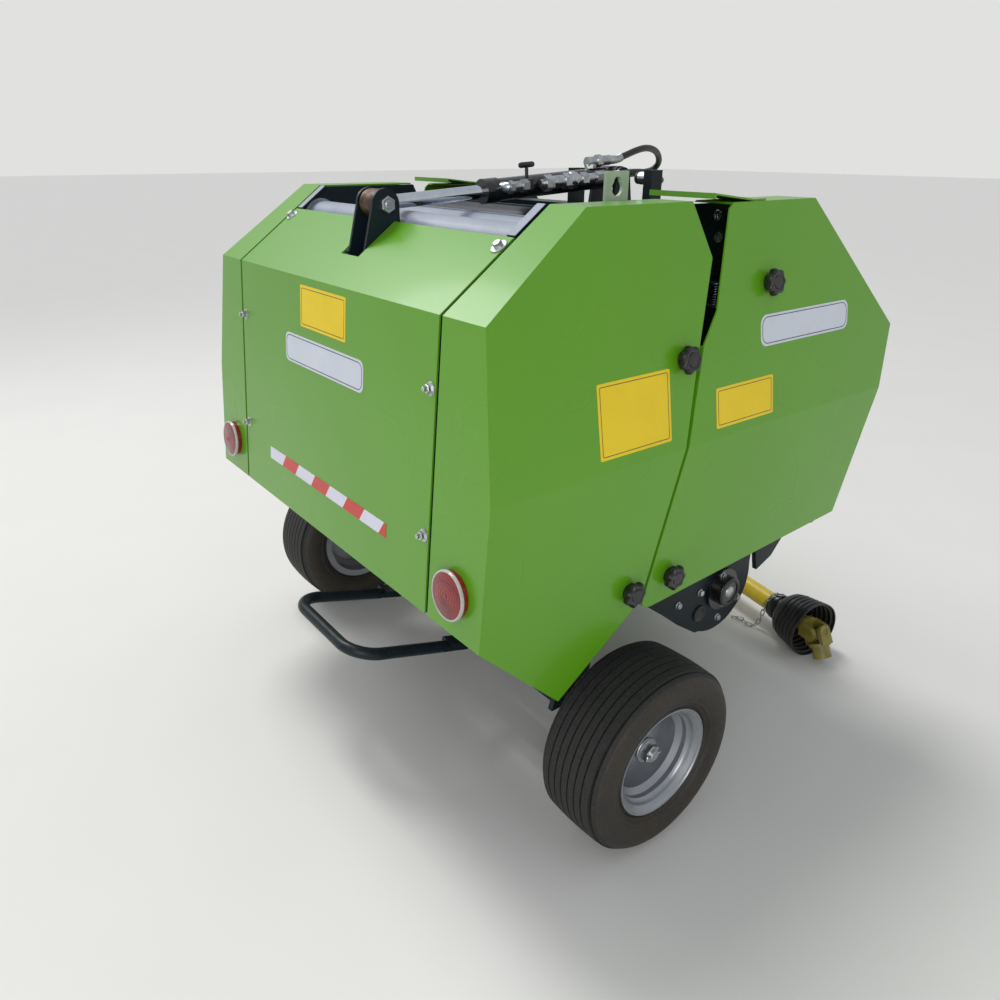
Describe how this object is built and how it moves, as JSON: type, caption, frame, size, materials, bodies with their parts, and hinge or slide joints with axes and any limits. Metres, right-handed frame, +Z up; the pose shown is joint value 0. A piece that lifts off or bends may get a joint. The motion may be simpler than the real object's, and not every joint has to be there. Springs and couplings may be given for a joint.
{
  "type": "round baler",
  "caption": "Compact round baler for a three-point hitch, with sheet covers, an opening tailgate moved by a cylinder, wheels, a tined pickup and a loose drive shaft.",
  "frame": {"origin": "middle of the bottom of the whole model, on the ground, the drive shaft lying in front included", "axes": "+X to the machine's right, +Y forward in the travel direction, +Z up"},
  "size_m": [1.267, 1.3476, 1.2028],
  "materials": {
    "cover_paint": "glossy green paint on sheet steel",
    "frame_paint": "satin dark teal paint",
    "roller_paint": "pale grey paint, dusty",
    "zinc_steel": "zinc plated",
    "chrome_rod": "polished hard chrome",
    "cast_eye": "bare, slightly brown",
    "barrel_paint": "glossy black paint",
    "tyre_rubber": "ribbed black rubber",
    "rim_paint": "silver paint",
    "knob_plastic": "moulded black plastic",
    "lamp_lens": "red lens",
    "lug_paint": "pale grey green paint",
    "hose_rubber": "black hydraulic hose",
    "guard_plastic": "yellow guard tube",
    "bell_plastic": "black corrugated bell",
    "yoke_paint": "olive yellow paint",
    "gearbox_iron": "grey cast iron"
  },
  "bodies": {
    "root": {"side_wall_right": "frame_paint", "side_wall_left": "frame_paint", "front_rollers": "roller_paint", "front_beam": "frame_paint", "front_wall": "frame_paint", "top_beam": "frame_paint", "hose_blocks": "frame_paint", "gap_plates": "cover_paint", "twine_box": "cover_paint", "chassis": "frame_paint", "tube_bar": "frame_paint", "headstock": "frame_paint", "gearbox": "gearbox_iron", "front_cover_right": "cover_paint", "front_cover_left": "cover_paint", "front_knobs": "knob_plastic", "pickup_bands": "cover_paint", "pickup_bearings": "barrel_paint", "shaft_tube": "guard_plastic", "shaft_bells": "bell_plastic", "shaft_yokes": "yoke_paint"},
    "tailgate": {"rear_panel": "cover_paint", "rear_cover_right": "cover_paint", "rear_cover_left": "cover_paint", "tail_wall_right": "frame_paint", "tail_wall_left": "frame_paint", "tail_rollers": "roller_paint", "tail_crossbar": "roller_paint", "rod_bracket": "frame_paint", "rear_knobs": "knob_plastic", "lamps": "lamp_lens", "lifting_lug": "lug_paint"},
    "cylinder": {"barrel": "barrel_paint", "barrel_fittings": "zinc_steel", "hose_upper": "hose_rubber", "hose_lower": "hose_rubber"},
    "piston": {"rod": "chrome_rod", "rod_eye": "cast_eye"},
    "wheel_right": {"tyre_right": "tyre_rubber", "rim_right": "rim_paint"},
    "wheel_left": {"tyre_left": "tyre_rubber", "rim_left": "rim_paint"},
    "pickup": {"pickup_reel": "frame_paint"},
    "input": {"input_shaft": "zinc_steel"},
    "stand": {"parking_stand": "frame_paint"}
  },
  "joints": [
    {"name": "tailgate_hinge", "type": "hinge", "parent": "root", "child": "tailgate", "pos_m": [0, -0.11234, 1.064], "axis": [-1, 0, 0], "range_deg": [0, 45]},
    {"name": "cylinder_swing", "type": "hinge", "parent": "root", "child": "cylinder", "pos_m": [0, 0.10166, 1.139], "axis": [-1, 0, 0], "range_deg": [0, 29.5]},
    {"name": "piston_slide", "type": "slide", "parent": "cylinder", "child": "piston", "axis": [0, 0.9982, 0.0602], "range_m": [0, 0.083]},
    {"name": "wheel_right_spin", "type": "hinge", "parent": "root", "child": "wheel_right", "pos_m": [0.5575, -0.30834, 0.184], "axis": [1, 0, 0], "continuous": true},
    {"name": "wheel_left_spin", "type": "hinge", "parent": "root", "child": "wheel_left", "pos_m": [-0.5575, -0.30834, 0.184], "axis": [1, 0, 0], "continuous": true},
    {"name": "pickup_spin", "type": "hinge", "parent": "root", "child": "pickup", "pos_m": [0, 0.18166, 0.25], "axis": [1, 0, 0], "continuous": true},
    {"name": "input_spin", "type": "hinge", "parent": "root", "child": "input", "pos_m": [0, 0.40166, 0.521], "axis": [0, 1, 0], "continuous": true},
    {"name": "stand_slide", "type": "slide", "parent": "root", "child": "stand", "axis": [0, 0, 1], "range_m": [0, 0.3]}
  ],
  "couplings": [
    {"joint": "cylinder_swing", "follows": "tailgate_hinge", "ratio": 0.6391},
    {"joint": "piston_slide", "follows": "tailgate_hinge", "m_per_rad": 0.1043}
  ]
}
